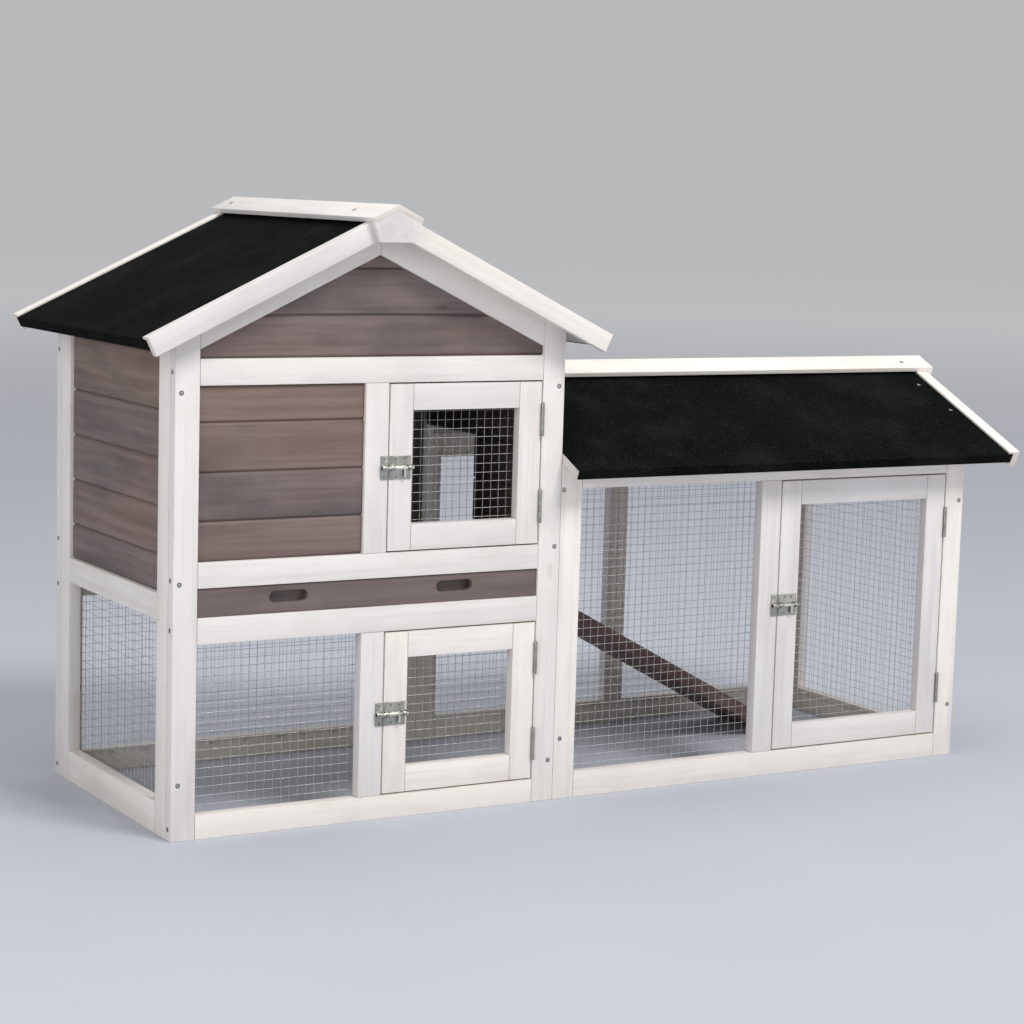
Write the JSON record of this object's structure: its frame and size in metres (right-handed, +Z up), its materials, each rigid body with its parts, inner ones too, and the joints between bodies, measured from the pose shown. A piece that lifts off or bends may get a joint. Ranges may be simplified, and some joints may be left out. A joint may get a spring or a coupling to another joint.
{
  "type": "rabbit hutch",
  "caption": "Timber rabbit hutch: a gabled two-storey house with mesh and boarded walls, mesh doors and a pull-out tray, joined to a low felt-roofed mesh run by an inside ramp.",
  "frame": {"origin": "centre of the whole hutch on plan, at the ground", "axes": "+X along the front from house to run, -Y the front, +Z up"},
  "size_m": [1.4838, 0.547, 0.8606],
  "materials": {
    "house_front_frame": "whitewash over fir",
    "house_front_boards": "matte stain",
    "house_front_gable": "matte stain",
    "house_front_mesh": "galvanised",
    "house_back_frame": "whitewash over fir",
    "house_back_boards": "matte stain",
    "house_back_mesh": "galvanised",
    "house_left_frame": "whitewash over fir",
    "house_left_boards": "matte stain",
    "house_left_mesh": "galvanised",
    "house_right_frame": "whitewash over fir",
    "house_right_boards": "matte stain",
    "house_roof": "whitewash over fir",
    "house_felt": "granular bitumen felt",
    "house_ridge_cap": "whitewash over fir",
    "house_barge_front_left": "whitewash over fir",
    "house_barge_front_right": "whitewash over fir",
    "house_barge_back_left": "whitewash over fir",
    "house_barge_back_right": "whitewash over fir",
    "run_front_frame": "whitewash over fir",
    "run_front_mesh": "galvanised",
    "run_back_frame": "whitewash over fir",
    "run_back_mesh": "galvanised",
    "run_end_frame": "whitewash over fir",
    "run_end_mesh": "galvanised",
    "run_roof": "whitewash over fir",
    "run_felt": "granular bitumen felt",
    "run_ridge_cap": "whitewash over fir",
    "run_barge_front": "whitewash over fir",
    "run_barge_back": "whitewash over fir",
    "upper_door_keeper": "zinc plated",
    "upper_door_hinge_low_wall_leaf": "zinc plated",
    "upper_door_hinge_high_wall_leaf": "zinc plated",
    "lower_door_keeper": "zinc plated",
    "lower_door_hinge_low_wall_leaf": "zinc plated",
    "lower_door_hinge_high_wall_leaf": "zinc plated",
    "run_door_keeper": "zinc plated",
    "run_door_hinge_low_wall_leaf": "zinc plated",
    "run_door_hinge_high_wall_leaf": "zinc plated",
    "upper_door_frame": "whitewash over fir",
    "upper_door_mesh": "galvanised",
    "upper_door_latch_plate": "zinc plated",
    "upper_door_hinge_low_door_leaf": "zinc plated",
    "upper_door_hinge_high_door_leaf": "zinc plated",
    "upper_door_bolt": "zinc plated",
    "lower_door_frame": "whitewash over fir",
    "lower_door_mesh": "galvanised",
    "lower_door_latch_plate": "zinc plated",
    "lower_door_hinge_low_door_leaf": "zinc plated",
    "lower_door_hinge_high_door_leaf": "zinc plated",
    "lower_door_bolt": "zinc plated",
    "run_door_frame": "whitewash over fir",
    "run_door_mesh": "galvanised",
    "run_door_latch_plate": "zinc plated",
    "run_door_hinge_low_door_leaf": "zinc plated",
    "run_door_hinge_high_door_leaf": "zinc plated",
    "run_door_bolt": "zinc plated",
    "tray_front": "satin stain",
    "tray_pan": "satin stain",
    "ramp": "matte stain"
  },
  "bodies": {
    "hutch": {"house_front_frame": "house_front_frame", "house_front_boards": "house_front_boards", "house_front_gable": "house_front_gable", "house_front_mesh": "house_front_mesh", "house_back_frame": "house_back_frame", "house_back_boards": "house_back_boards", "house_back_mesh": "house_back_mesh", "house_left_frame": "house_left_frame", "house_left_boards": "house_left_boards", "house_left_mesh": "house_left_mesh", "house_right_frame": "house_right_frame", "house_right_boards": "house_right_boards", "house_roof": "house_roof", "house_felt": "house_felt", "house_ridge_cap": "house_ridge_cap", "house_barge_front_left": "house_barge_front_left", "house_barge_front_right": "house_barge_front_right", "house_barge_back_left": "house_barge_back_left", "house_barge_back_right": "house_barge_back_right", "run_front_frame": "run_front_frame", "run_front_mesh": "run_front_mesh", "run_back_frame": "run_back_frame", "run_back_mesh": "run_back_mesh", "run_end_frame": "run_end_frame", "run_end_mesh": "run_end_mesh", "run_roof": "run_roof", "run_felt": "run_felt", "run_ridge_cap": "run_ridge_cap", "run_barge_front": "run_barge_front", "run_barge_back": "run_barge_back", "upper_door_keeper": "upper_door_keeper", "upper_door_hinge_low_wall_leaf": "upper_door_hinge_low_wall_leaf", "upper_door_hinge_high_wall_leaf": "upper_door_hinge_high_wall_leaf", "lower_door_keeper": "lower_door_keeper", "lower_door_hinge_low_wall_leaf": "lower_door_hinge_low_wall_leaf", "lower_door_hinge_high_wall_leaf": "lower_door_hinge_high_wall_leaf", "run_door_keeper": "run_door_keeper", "run_door_hinge_low_wall_leaf": "run_door_hinge_low_wall_leaf", "run_door_hinge_high_wall_leaf": "run_door_hinge_high_wall_leaf"},
    "upper_door": {"upper_door_frame": "upper_door_frame", "upper_door_mesh": "upper_door_mesh", "upper_door_latch_plate": "upper_door_latch_plate", "upper_door_hinge_low_door_leaf": "upper_door_hinge_low_door_leaf", "upper_door_hinge_high_door_leaf": "upper_door_hinge_high_door_leaf"},
    "upper_door_bolt": {"upper_door_bolt": "upper_door_bolt"},
    "lower_door": {"lower_door_frame": "lower_door_frame", "lower_door_mesh": "lower_door_mesh", "lower_door_latch_plate": "lower_door_latch_plate", "lower_door_hinge_low_door_leaf": "lower_door_hinge_low_door_leaf", "lower_door_hinge_high_door_leaf": "lower_door_hinge_high_door_leaf"},
    "lower_door_bolt": {"lower_door_bolt": "lower_door_bolt"},
    "run_door": {"run_door_frame": "run_door_frame", "run_door_mesh": "run_door_mesh", "run_door_latch_plate": "run_door_latch_plate", "run_door_hinge_low_door_leaf": "run_door_hinge_low_door_leaf", "run_door_hinge_high_door_leaf": "run_door_hinge_high_door_leaf"},
    "run_door_bolt": {"run_door_bolt": "run_door_bolt"},
    "tray": {"tray_front": "tray_front", "tray_pan": "tray_pan"},
    "ramp": {"ramp": "ramp"}
  },
  "joints": [
    {"name": "upper_door_hinge", "type": "hinge", "parent": "hutch", "child": "upper_door", "pos_m": [-0.1238, -0.2248, 0.4975], "axis": [0, 0, 1], "range_deg": [0, 105]},
    {"name": "lower_door_hinge", "type": "hinge", "parent": "hutch", "child": "lower_door", "pos_m": [-0.1238, -0.2248, 0.151], "axis": [0, 0, 1], "range_deg": [0, 170]},
    {"name": "run_door_hinge", "type": "hinge", "parent": "hutch", "child": "run_door", "pos_m": [0.6262, -0.2248, 0.2475], "axis": [0, 0, 1], "range_deg": [0, 170]},
    {"name": "upper_door_bolt_slide", "type": "slide", "parent": "upper_door", "child": "upper_door_bolt", "axis": [-1, 0, 0], "range_m": [0, 0.012]},
    {"name": "lower_door_bolt_slide", "type": "slide", "parent": "lower_door", "child": "lower_door_bolt", "axis": [-1, 0, 0], "range_m": [0, 0.012]},
    {"name": "run_door_bolt_slide", "type": "slide", "parent": "run_door", "child": "run_door_bolt", "axis": [-1, 0, 0], "range_m": [0, 0.012]},
    {"name": "tray_slide", "type": "slide", "parent": "hutch", "child": "tray", "axis": [0, -1, 0], "range_m": [0, 0.36]},
    {"name": "ramp_pivot", "type": "hinge", "parent": "hutch", "child": "ramp", "pos_m": [-0.07475, 0.088, 0.312], "axis": [0, -1, 0], "range_deg": [0, 34]}
  ]
}
